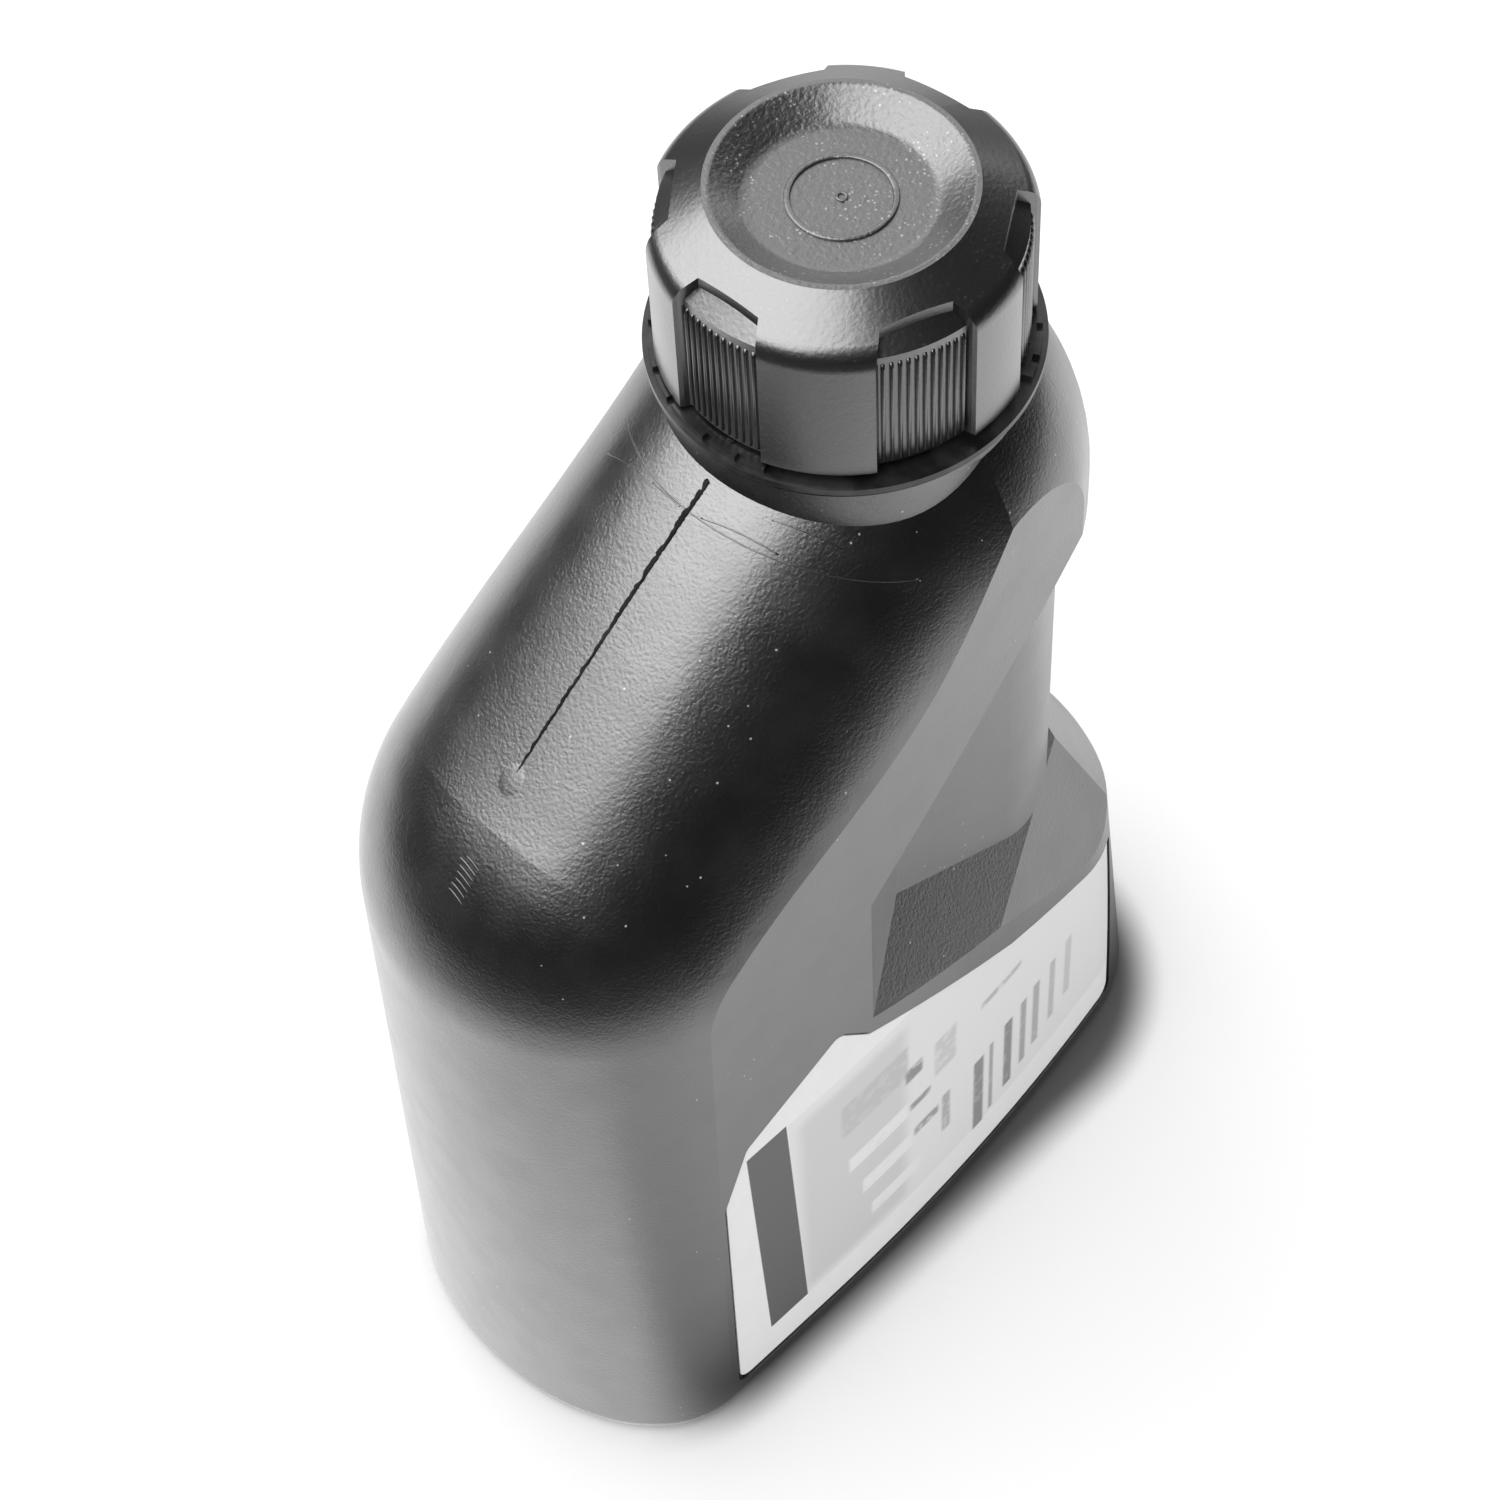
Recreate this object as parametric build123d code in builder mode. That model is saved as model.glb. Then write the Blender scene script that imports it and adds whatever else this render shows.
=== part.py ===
from build123d import *
from math import asin, atan2, cos, degrees, radians, sin, sqrt
import os

os.makedirs("parts", exist_ok=True)

# Frame: +Z up, +X from the rounded front end to the neck and grip, Y is the thickness.
# The origin is the bottom centre of the body's box. All lengths are millimetres.

# ---- driving dimensions: length, width and height of the body ----
body_length = 139.4
body_width = 68.2
body_height = 190.2
wall = 2.0
half_w = body_width / 2

# ---- body in plan ----
neck_to_rear = 0.3716 * body_length
front_depth_base = 0.16 * body_length
front_depth_top = 0.7126 * half_w
side_flat_length = 0.1643 * body_length
side_taper = 0.329 * half_w
rear_draft = 0.11 * body_length
rear_r = 1.261 * half_w
rear_corner_r = 0.6716 * half_w
base_wall = 3.6
base_edge_r = 3.1
base_recess_depth = 1.55
base_recess_inset = 8.6

# ---- shoulder: an arch swept up the slope, a turned corner over the front, a dome round the neck ----
corner_z = 0.6262 * body_height
corner_r = 1.1202 * half_w
lead_in = 9.5
mid_ridge_x = -0.193 * body_length
mid_ridge_z = body_height - 6.3
mid_plane_share = 0.486
mid_rise = 0.8827 * half_w
mid_overreach = 0.85
arch_power = 2.0
mid_power = 2.0
dome_power = 2.0
dome_r = half_w + 0.2
dome_top_z = body_height + 9.4
dome_height = 35.6
core_drop = 1.9

# ---- grip waist ----
grip_front_x = -0.2159 * body_length
grip_inner_x = -0.1069 * body_length
grip_half_width = half_w - 10.4
grip_edge_y = half_w - 0.5
grip_rear_x = dome_r - 0.6
ledge_inner_z = 0.5195 * body_height
ledge_fall_x_share = 0.489
ledge_fall_y_share = 1.35
ledge_hip_x = 0.0538 * body_length
ledge_hip_z = 0.4348 * body_height
hip_fall_x_share = 0.782
hip_fall_y_share = 1.897
ledge_rear_z = 0.4338 * body_height
ledge_rear_share = 1.9
head_edge_z = 0.6194 * body_height
head_rise_share = 0.91
head_under_share = 0.9
head_rear_z = 0.8638 * body_height
head_rear_share = 1.0

# ---- label panels: X from the front end, Z from the base ----
panel_depth = 0.9
film_gap = 0.3
film = 0.3
film_edge_gap = 0.6
panel_left = 0.1736 * body_length
panel_bottom_z = 5.3
panel_knee_z = 0.3512 * body_height
panel_step = 0.2109 * body_length
panel_step_z = 0.4185 * body_height
panel_peak = 0.3572 * body_length
panel_peak_z = 0.47 * body_height
panel_drop = 0.4067 * body_length
panel_drop_z = 0.4269 * body_height
panel_mid = 0.6528 * body_length
panel_mid_z = 0.3354 * body_height
panel_right = 0.8816 * body_length
panel_end_z = 0.276 * body_height
panel_corner_r = 2.5

# ---- neck finish: heights count from the collar's top ----
bore_r = 17.5
neck_wall = 2.5
neck_r = bore_r + neck_wall
collar_r = neck_r + 5.8
collar_z = body_height
collar_sink = 13.4
lip_z = collar_z + 25.6
lip_round = 0.7
bead_z = collar_z + 5.2
bead_height = 1.9
bead_r = neck_r + 1.9

# ---- tamper ring ----
ring_z = collar_z + 0.7
ring_step_z = ring_z + 2.1
ring_top_z = ring_step_z + 0.9
ring_lip_r = bead_r - 0.3
ring_lip_height = 1.35
ring_bore_r = bead_r + 0.8
ring_band_r = ring_bore_r + 4.2
ring_r = ring_band_r + 0.8
ring_foot_r = ring_r - 0.6
slot_pairs = 12
slot_pair_deg = 12.0
slot_turn_deg = 157.0
slot_width = 1.4
slot_depth = 0.9
stub_r = 0.55
stub_height = 0.3
low_sector_deg = 93.0
low_centre_deg = -112.5

# ---- cap and wad ----
wad_thickness = 1.5
seat_gap = 0.3
wad_low = lip_z + seat_gap
ceiling_z = wad_low + wad_thickness + seat_gap
dish_depth = 2.95
cap_top_wall = 1.85
cap_top_z = ceiling_z + cap_top_wall + dish_depth
cap_bottom_z = ring_top_z + 0.6
cap_bore_r = bead_r + 0.4
cap_wall = 4.0
cap_r = cap_bore_r + cap_wall
wad_r = cap_bore_r - 0.9
skirt_top_drop = 5.2
crown_round = 4.0
rim_edge_round = 0.75
dish_round = 2.85
dish_r = cap_r - 8.8
dish_floor_r = dish_r - 4.7
rim_flat = 0.85
grip_r = cap_r - 1.5
grip_pairs = 3
grip_turn_deg = 36.8
grip_pair_deg = 26.85
grip_half_chord = 0.2586 * cap_r
grip_bevel_share = 0.95
notch_half_chord = 0.1977 * cap_r
rib_top_z = cap_top_z - 6.5
notch_r = cap_r - 4.0
notch_floor_z = cap_top_z - 4.3
bore_chamfer = 0.8


# ---- derived ----
neck_x = body_length / 2 - neck_to_rear
front_x = -body_length / 2
rear_x = body_length / 2
corner_x = front_x + corner_r
heel_x = front_x + front_depth_base
flat_end_x = heel_x + side_flat_length
side_run = rear_x - flat_end_x
side_r = (side_run ** 2 + side_taper ** 2) / (2 * side_taper)
top_reach = (half_w ** 2 + front_depth_top ** 2) / (2 * front_depth_top)
dome_centre_z = dome_top_z - dome_height
ridge_run = neck_x + mid_ridge_x - corner_x
ridge_climb = mid_ridge_z - corner_z
slope_deg = degrees(atan2(ridge_climb, ridge_run) - asin(corner_r / sqrt(ridge_run ** 2 + ridge_climb ** 2)))
mid_plane_deg = 90 + mid_plane_share * slope_deg
beyond = body_width
clear = wall
arch_shares = [-1.0, -0.985, -0.93, -0.83, -0.68, -0.48, -0.25, 0.0,
               0.25, 0.48, 0.68, 0.83, 0.93, 0.985, 1.0]
depth_share = 0.96


def neck(x):
    """X in the part's frame for an X counted from the neck's axis."""
    return neck_x + x


def ahead(x):
    """X in the part's frame for a distance from the front end."""
    return front_x + x


def arch(width, reach, rise, power, y):
    """Height over the crease of an arch of half-width width on a rounded curve of half-width reach."""
    edge = max(0, 1 - (width / reach) ** power) ** (1 / power)
    return rise * (max(0, 1 - (abs(y) / reach) ** power) ** (1 / power) - edge) / (1 - edge)


def rear_meet(inset, shrink):
    """Point where the side arc of the plan would meet the rear arc."""
    side, rear = side_r - inset, rear_r - inset
    ax, ay = flat_end_x, half_w - side_r
    bx, by = rear_x - shrink - rear_r, 0
    gap = sqrt((bx - ax) ** 2 + (by - ay) ** 2)
    along = (gap ** 2 + side ** 2 - rear ** 2) / (2 * gap)
    off = sqrt(side ** 2 - along ** 2)
    ux, uy = (bx - ax) / gap, (by - ay) / gap
    return ax + along * ux + off * uy, ay + along * uy - off * ux


def side_y(x, inset):
    """Half-width of the plan at x, ahead of the rear corner."""
    return half_w - side_r + sqrt((side_r - inset) ** 2 - max(0, x - flat_end_x) ** 2)


def plan_sketch(inset, front, shrink):
    """Plan region with flat sides run forward to x = front; rounded at the rear, which shrink moves in."""
    width = half_w - inset
    x, y = rear_meet(inset, shrink)
    mid = (x + flat_end_x) / 2
    with BuildSketch() as plan:
        with BuildLine():
            Polyline((flat_end_x, width), (front, width), (front, -width), (flat_end_x, -width))
            ThreePointArc((flat_end_x, -width), (mid, -side_y(mid, inset)), (x, -y))
            ThreePointArc((x, -y), (rear_x - shrink - inset, 0), (x, y))
            ThreePointArc((x, y), (mid, side_y(mid, inset)), (flat_end_x, width))
        make_face()
        fillet(plan.vertices().filter_by(lambda v: v.X > x - wall / 10), rear_corner_r - inset)
    return plan.sketch


def base_block(inset, low, front):
    """Lower body behind x = front, from the height low up to the corner's foot, with the rear wall's draft."""
    with BuildPart() as block:
        with BuildSketch(Plane.XY.offset(low)) as foot:
            add(plan_sketch(inset, front, rear_draft * low / corner_z))
        with BuildSketch(Plane.XY.offset(corner_z)) as top:
            add(plan_sketch(inset, front, rear_draft))
        loft(ruled=True)
    return block.part


def section_plane(x, z, angle):
    """Plane across the ridge with its origin at (x, z); its local y axis points out at the angle in XZ."""
    out = Vector(cos(radians(angle)), 0, sin(radians(angle)))
    return Plane(origin=(x, 0, z), x_dir=(0, 1, 0), z_dir=Vector(0, 1, 0).cross(out))


def arch_face(width, reach, rise, power, depth):
    """Outline of an arch section: local x is Y, local y is the height over the crease."""
    pts = [(reach * s, arch(width, reach, rise, power, reach * s)) for s in arch_shares]
    Spline(pts)
    Polyline(pts[-1], (reach, -depth), (-reach, -depth), pts[0])


def full_form(inset):
    """Body without neck or waist. An inset gives the same form moved in by a wall."""
    width = half_w - inset
    reach = top_reach - inset
    arch_foot = sqrt(reach ** 2 - width ** 2)
    depth_top = reach - arch_foot
    hub_r = corner_r - top_reach + arch_foot
    tilt = 90 + slope_deg
    sunk = hub_r * depth_share
    out = (cos(radians(tilt)), sin(radians(tilt)))
    along = (cos(radians(slope_deg)), sin(radians(slope_deg)))
    first = (corner_x + hub_r * out[0], corner_z + hub_r * out[1])
    lead = (first[0] + lead_in * along[0], first[1] + lead_in * along[1])
    mid_out = (cos(radians(mid_plane_deg)), sin(radians(mid_plane_deg)))
    mid_drop = mid_rise + inset
    mid = (neck(mid_ridge_x) - mid_drop * mid_out[0], mid_ridge_z - mid_drop * mid_out[1])
    mid_width = side_y(mid[0], inset)
    floor = base_wall if inset > 0 else 0
    dome_low = dome_centre_z - inset
    with BuildPart() as form:
        with BuildSketch(section_plane(corner_x - hub_r, corner_z, 180)):
            with BuildLine():
                arch_face(width, reach, depth_top, arch_power, sunk)
            make_face()
        revolve(axis=Axis((corner_x, 0, corner_z), (0, 1, 0)), revolution_arc=90 - slope_deg)
    with BuildPart() as slope:
        for point in (first, lead):
            with BuildSketch(section_plane(point[0], point[1], tilt)):
                with BuildLine():
                    arch_face(width, reach, depth_top, arch_power, sunk)
                make_face()
        with BuildSketch(section_plane(mid[0], mid[1], mid_plane_deg)):
            with BuildLine():
                arch_face(mid_width, mid_width + mid_overreach, mid_rise, mid_power, sunk)
            make_face()
        with BuildSketch(section_plane(neck_x, dome_low, 90)):
            with BuildLine():
                arch_face(dome_r - inset, dome_r - inset, dome_height, dome_power, sunk)
            make_face()
        loft()
    with BuildPart() as dome:
        with BuildSketch(section_plane(neck_x, dome_low, 90)):
            with BuildLine():
                arch_face(dome_r - inset, dome_r - inset, dome_height, dome_power, dome_low - corner_z)
            make_face()
            with Locations((-beyond / 2, 0)):
                Rectangle(beyond, beyond * 2, mode=Mode.SUBTRACT)
        revolve(axis=Axis((neck_x, 0, 0), (0, 0, -1)), revolution_arc=180)
    with BuildPart() as core:
        with BuildSketch(Plane.XZ):
            with BuildLine():
                Polyline((corner_x - hub_r + core_drop, corner_z),
                         (first[0] + core_drop, first[1] - core_drop),
                         (mid[0], mid[1] - core_drop), (neck_x, dome_low), (neck_x, corner_z),
                         (corner_x - hub_r + core_drop, corner_z))
            make_face()
        extrude(amount=beyond, both=True)
    with BuildPart() as mass:
        add(core.part)
        add(form.part)
        add(slope.part)
        add(dome.part)
    with BuildPart() as upper:
        with BuildSketch(Plane.XY.offset(corner_z)):
            add(plan_sketch(inset, front_x - beyond, 0))
        extrude(amount=dome_low + dome_height)
        add(mass.part, mode=Mode.INTERSECT)
    with BuildPart() as slab:
        with BuildSketch(section_plane(corner_x - hub_r, corner_z, 180)):
            with BuildLine():
                arch_face(width, reach, depth_top, arch_power, body_length)
            make_face()
        extrude(amount=-base_wall)
        with BuildSketch(Plane.XY.offset(corner_z)):
            with Locations((flat_end_x - beyond, 0)):
                Rectangle(beyond * 2, width * 2)
        extrude(amount=-base_wall, mode=Mode.INTERSECT)
    with BuildSketch(Plane.XY.offset(floor)) as foot:
        with BuildLine():
            EllipticalCenterArc((heel_x, 0), front_depth_base - inset, width, start_angle=90, arc_size=180)
            Polyline((heel_x, -width), (flat_end_x, -width), (flat_end_x, width), (heel_x, width))
        make_face()
    with BuildPart() as lower:
        add(base_block(inset, floor, flat_end_x - side_flat_length / 2))
        loft(sections=[foot.sketch.face(), slab.faces().sort_by(Axis.Z)[-1]], ruled=True)
    with BuildPart() as body:
        add(lower.part)
        add(upper.part)
    return body.part


def convex(planes):
    """Solid under every one of the planes."""
    with BuildPart() as form:
        Box(beyond * 6, beyond * 6, beyond * 8)
        for plane in planes:
            with BuildSketch(plane):
                Rectangle(beyond * 12, beyond * 12)
            extrude(amount=-beyond * 12, mode=Mode.INTERSECT)
    return form.part


def ledge_form(inset):
    """Everything under the ledge: two slopes on each side and a cone round the rear of the grip."""
    planes = []
    for sign in (1, -1):
        planes.append(Plane(origin=(neck(grip_front_x), sign * grip_half_width, ledge_inner_z),
                            z_dir=(ledge_fall_x_share, sign * ledge_fall_y_share, 1)))
        planes.append(Plane(origin=(neck(ledge_hip_x), sign * grip_half_width, ledge_hip_z),
                            z_dir=(hip_fall_x_share, sign * hip_fall_y_share, 1)))
    turn = neck(grip_rear_x) - grip_half_width
    foot_r = grip_half_width + (ledge_rear_z - inset * sqrt(1 + ledge_rear_share ** 2)) / ledge_rear_share
    with BuildPart() as rear:
        with Locations((turn, 0, 0)):
            Cone(foot_r, 0, foot_r * ledge_rear_share, align=(Align.CENTER, Align.CENTER, Align.MIN))
        with Locations((turn, 0, 0)):
            Box(beyond * 4, beyond * 4, beyond * 4, align=(Align.MAX, Align.CENTER, Align.MIN))
    with BuildPart() as form:
        add(convex([plane.offset(-inset) for plane in planes]))
        add(rear.part, mode=Mode.INTERSECT)
    return form.part


def head_form(inset):
    """Everything above the overhang of the grip."""
    start = (neck(grip_front_x), grip_edge_y, head_edge_z)
    planes = [Plane(origin=(start[0], sign * start[1], start[2]),
                    z_dir=(head_rise_share, sign * head_under_share, -1)) for sign in (1, -1)]
    planes.append(Plane(origin=(neck_x + dome_r, 0, head_rear_z), z_dir=(head_rear_share, 0, -1)))
    return convex([plane.offset(-inset) for plane in planes])


def grip_core(inset):
    """The narrow grip and the full-width front ahead of it, as one prism."""
    half = grip_half_width - inset
    inner, outer = neck(grip_inner_x), neck(grip_front_x)
    run = (inner - outer) / (grip_edge_y - grip_half_width)
    step = inset * sqrt(1 + run ** 2)
    far = outer - run * (beyond - grip_edge_y) - step
    near = inner - step + run * inset
    turn = neck(grip_rear_x) - grip_half_width
    with BuildPart() as form:
        with BuildSketch(Plane.XY.offset(-wall)):
            with BuildLine():
                Polyline((turn, half), (near, half), (far, beyond), (front_x - beyond, beyond),
                         (front_x - beyond, -beyond), (far, -beyond), (near, -half), (turn, -half))
                ThreePointArc((turn, -half), (turn + half, 0), (turn, half))
            make_face()
        extrude(amount=lip_z)
    return form.part


def grip_room(inset):
    """The room taken out for the hand, round both sides and the rear."""
    with BuildPart() as room:
        with BuildSketch(Plane.XY.offset(ledge_rear_z / 3)):
            with Locations((rear_x, 0)):
                Rectangle(beyond * 3, beyond * 2)
        extrude(amount=lip_z)
        add(grip_core(inset), mode=Mode.SUBTRACT)
        add(ledge_form(inset), mode=Mode.SUBTRACT)
        add(head_form(inset), mode=Mode.SUBTRACT)
    return room.part


def body_form(inset):
    """Body with the grip waist and without the neck."""
    with BuildPart() as body:
        add(full_form(inset))
        add(grip_room(inset), mode=Mode.SUBTRACT)
    return body.part


def panel_prism(edge_gap, side):
    """Outline of the label panel, moved in by edge_gap, as a prism out to one side (1 or -1)."""
    with BuildPart() as prism:
        with BuildSketch(Plane.XZ) as outline:
            with BuildLine():
                Polyline((ahead(panel_left), panel_bottom_z), (ahead(panel_left), panel_knee_z),
                         (ahead(panel_step), panel_step_z), (ahead(panel_peak), panel_peak_z),
                         (ahead(panel_drop), panel_drop_z), (ahead(panel_mid), panel_mid_z),
                         (ahead(panel_right), panel_end_z), (ahead(panel_right), panel_bottom_z), close=True)
            make_face()
            offset(amount=-edge_gap, kind=Kind.INTERSECTION)
            fillet(outline.vertices(), panel_corner_r)
        extrude(amount=-side * beyond)
    return prism.part


def label_film(side):
    """Label on one side, standing between the panel's floor and the side face."""
    with BuildPart() as sheet:
        add(panel_prism(film_edge_gap, side))
        add(base_block(panel_depth - film_gap - film, 0, front_x - beyond), mode=Mode.INTERSECT)
        add(base_block(panel_depth - film_gap, 0, front_x - beyond), mode=Mode.SUBTRACT)
    return sheet.part


# ---- bottle: body, waist, neck and the room inside ----
with BuildPart() as cavity:
    add(body_form(wall))
    with BuildSketch(Plane.XY.offset(collar_z - wall)):
        Rectangle(beyond * 6, beyond * 6)
    extrude(amount=beyond, mode=Mode.SUBTRACT)

with BuildPart() as panel_floor:
    add(base_block(panel_depth, 0, front_x - beyond))

with BuildPart() as bottle:
    add(body_form(0))
    fillet(bottle.edges().group_by(Axis.Z)[0], base_edge_r)
    with BuildSketch(Plane.XY.offset(collar_z)):
        Rectangle(beyond * 6, beyond * 6)
    extrude(amount=beyond, mode=Mode.SUBTRACT)
    for side in (1, -1):
        with BuildPart(mode=Mode.PRIVATE) as pocket:
            add(panel_prism(0, side))
            add(panel_floor.part, mode=Mode.SUBTRACT)
        add(pocket.part, mode=Mode.SUBTRACT)
    with BuildSketch(Plane.XY) as recess:
        add(plan_sketch(base_recess_inset, flat_end_x - side_flat_length, 0))
        with Locations((flat_end_x - side_flat_length, 0)):
            Ellipse(front_depth_base - base_recess_inset, half_w - base_recess_inset)
    extrude(amount=base_recess_depth, mode=Mode.SUBTRACT)
    with BuildSketch(Plane.XY.offset(collar_z - collar_sink)):
        with Locations((neck_x, 0)):
            Circle(collar_r)
    extrude(amount=collar_sink)
    with BuildSketch(Plane.XZ) as finish:
        with BuildLine():
            Polyline((neck_x, collar_z - collar_sink), (neck_x + neck_r, collar_z - collar_sink),
                     (neck_x + neck_r, bead_z), (neck_x + bead_r, bead_z),
                     (neck_x + bead_r, bead_z + bead_height / 3), (neck_x + neck_r, bead_z + bead_height),
                     (neck_x + neck_r, lip_z - lip_round), (neck_x + neck_r - lip_round, lip_z),
                     (neck_x, lip_z), close=True)
        make_face()
    revolve(axis=Axis((neck_x, 0, 0), (0, 0, 1)))
    add(cavity.part, mode=Mode.SUBTRACT)
    with BuildSketch(Plane.XY.offset(collar_z - collar_sink)):
        with Locations((neck_x, 0)):
            Circle(bore_r)
    extrude(amount=lip_z, mode=Mode.SUBTRACT)
bottle.part.label = "bottle"
export_step(bottle.part, "parts/bottle.step")

# ---- labels ----
with BuildPart() as label_left:
    add(label_film(1))
label_left.part.label = "label_left"
export_step(label_left.part, "parts/label_left.step")

with BuildPart() as label_right:
    add(label_film(-1))
label_right.part.label = "label_right"
export_step(label_right.part, "parts/label_right.step")

# ---- wad: rests over the lip, under the cap's ceiling ----
with BuildPart() as wad:
    with BuildSketch(Plane.XY.offset(wad_low)):
        with Locations((neck_x, 0)):
            Circle(wad_r)
    extrude(amount=wad_thickness)
wad.part.label = "wad"
export_step(wad.part, "parts/wad.step")

# ---- cap: turned shell, then six grip panels cut down to a smaller turned core ----
skirt_top_z = cap_top_z - skirt_top_drop
rim_r = dish_r + rim_flat
dish_floor_z = cap_top_z - dish_depth
with BuildPart() as grip_core_form:
    with BuildSketch(Plane.XZ):
        with BuildLine():
            Polyline((neck_x, cap_bottom_z - clear), (neck_x + grip_r, cap_bottom_z - clear),
                     (neck_x + grip_r, rib_top_z), (neck_x + notch_r, notch_floor_z),
                     (neck_x + notch_r, cap_top_z + clear), (neck_x, cap_top_z + clear), close=True)
        make_face()
    revolve(axis=Axis((neck_x, 0, 0), (0, 0, 1)))

outer_r = cap_r + clear
outer_half = grip_half_chord + grip_bevel_share * (outer_r - grip_r)
with BuildPart() as grips:
    with BuildSketch(Plane.XY.offset(cap_bottom_z - clear)):
        with Locations((neck_x, 0)):
            for turn in (grip_turn_deg - grip_pair_deg, grip_turn_deg + grip_pair_deg):
                with PolarLocations(0, grip_pairs, start_angle=turn):
                    Polygon((notch_r, -notch_half_chord), (grip_r, -grip_half_chord), (outer_r, -outer_half),
                            (outer_r, outer_half), (grip_r, grip_half_chord), (notch_r, notch_half_chord),
                            align=None)
    extrude(amount=cap_top_z - cap_bottom_z)
    add(grip_core_form.part, mode=Mode.SUBTRACT)

with BuildPart() as cap:
    with BuildSketch(Plane.XZ) as turned:
        with BuildLine():
            Polyline((neck_x, ceiling_z), (neck_x + cap_bore_r - bore_chamfer, ceiling_z),
                     (neck_x + cap_bore_r, ceiling_z - bore_chamfer), (neck_x + cap_bore_r, cap_bottom_z),
                     (neck_x + cap_r, cap_bottom_z), (neck_x + cap_r, skirt_top_z),
                     (neck_x + rim_r, cap_top_z), (neck_x + dish_r, cap_top_z),
                     (neck_x + dish_floor_r, dish_floor_z), (neck_x, dish_floor_z), close=True)
        make_face()
        fillet(turned.vertices().sort_by_distance((neck_x + cap_r, skirt_top_z))[0], crown_round)
        fillet(turned.vertices().sort_by_distance((neck_x + dish_r, cap_top_z))[0], rim_edge_round)
        fillet(turned.vertices().sort_by_distance((neck_x + dish_floor_r, dish_floor_z))[0], dish_round)
    revolve(axis=Axis((neck_x, 0, 0), (0, 0, 1)))
    add(grips.part, mode=Mode.SUBTRACT)
cap.part.label = "cap"
export_step(cap.part, "parts/cap.step")


def rim_point(turn):
    """Point outside the ring at an angle from the middle of its low sector."""
    angle = radians(low_centre_deg + turn)
    return neck_x + outer_r * cos(angle), outer_r * sin(angle)


# ---- tamper ring: turned band with a lip under the neck's bead, a low sector, slots and bridge stubs ----
with BuildPart() as tamper_ring:
    with BuildSketch(Plane.XZ) as band:
        with BuildLine():
            Polyline((neck_x + ring_lip_r, ring_z), (neck_x + ring_foot_r, ring_z),
                     (neck_x + ring_r, ring_z + (ring_step_z - ring_z) / 2), (neck_x + ring_r, ring_step_z),
                     (neck_x + ring_band_r, ring_step_z), (neck_x + ring_band_r, ring_top_z),
                     (neck_x + ring_bore_r, ring_top_z), (neck_x + ring_bore_r, ring_z + ring_lip_height),
                     (neck_x + ring_lip_r, ring_z + ring_lip_height), close=True)
        make_face()
    revolve(axis=Axis((neck_x, 0, 0), (0, 0, 1)))
    with BuildSketch(Plane.XY.offset(ring_step_z)):
        with Locations((neck_x, 0)):
            for turn in (slot_turn_deg - slot_pair_deg / 2, slot_turn_deg + slot_pair_deg / 2):
                with PolarLocations(ring_band_r, slot_pairs, start_angle=turn):
                    Rectangle(slot_depth * 2, slot_width)
    extrude(amount=ring_top_z, mode=Mode.SUBTRACT)
    with BuildSketch(Plane.XY.offset(ring_top_z)):
        with Locations((neck_x, 0)):
            with PolarLocations((ring_bore_r + ring_band_r) / 2, slot_pairs, start_angle=slot_turn_deg):
                Circle(stub_r)
    extrude(amount=stub_height)
    with BuildSketch(Plane.XY.offset(ring_step_z)):
        with BuildLine():
            Polyline(rim_point(low_sector_deg / 2), (neck_x, 0), rim_point(-low_sector_deg / 2))
            ThreePointArc(rim_point(-low_sector_deg / 2), rim_point(0), rim_point(low_sector_deg / 2))
        make_face()
    extrude(amount=ring_top_z, mode=Mode.SUBTRACT)
tamper_ring.part.label = "tamper_ring"
export_step(tamper_ring.part, "parts/tamper_ring.step")
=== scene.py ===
"""Studio looks for the oil bottle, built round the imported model.

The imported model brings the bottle, its tamper ring, the labels, the liner and the cap. This file
dresses those nodes, adds the moulded detail that is too fine for the solids (grip ribs, both
threads, the parting line and the witness lines of the mould), and sets up camera and light.
All sizes are metres in the model's frame.
"""

from __future__ import annotations

import logging
import math
from dataclasses import dataclass, field
from enum import Enum

import bpy
from mathutils import Matrix, Vector, noise
from mathutils.bvhtree import BVHTree


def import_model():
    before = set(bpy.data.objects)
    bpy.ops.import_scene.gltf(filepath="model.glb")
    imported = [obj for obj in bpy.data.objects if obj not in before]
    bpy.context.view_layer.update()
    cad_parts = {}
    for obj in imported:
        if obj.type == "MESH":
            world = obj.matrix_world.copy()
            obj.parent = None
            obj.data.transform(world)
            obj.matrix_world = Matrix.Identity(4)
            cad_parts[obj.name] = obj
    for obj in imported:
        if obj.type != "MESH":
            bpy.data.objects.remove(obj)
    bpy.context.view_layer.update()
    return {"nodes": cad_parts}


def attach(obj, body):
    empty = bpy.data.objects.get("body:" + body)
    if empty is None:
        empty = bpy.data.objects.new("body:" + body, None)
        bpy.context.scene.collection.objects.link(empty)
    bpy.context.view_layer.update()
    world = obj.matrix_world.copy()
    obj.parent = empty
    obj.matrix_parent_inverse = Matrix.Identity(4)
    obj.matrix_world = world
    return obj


LOG = logging.getLogger("oil_bottle")
MM = 0.001
NECK_X = 17.9 * MM

Socket = bpy.types.NodeSocket
Colour = tuple[float, float, float, float]
Pair = tuple[float, float]
Triple = tuple[float, float, float]
Face = tuple[int, ...]


def grey(level: float) -> Colour:
    """A neutral colour."""
    return (level, level, level, 1.0)


WHITE = grey(1.0)
BLACK = grey(0.0)


class Body(Enum):
    """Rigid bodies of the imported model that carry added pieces."""

    PACK = "pack"
    CLOSURE = "closure"


class Slot(Enum):
    """Material slots of the record, passed along with the added pieces."""

    BOTTLE = "bottle_plastic"
    CAP = "cap_plastic"


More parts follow.
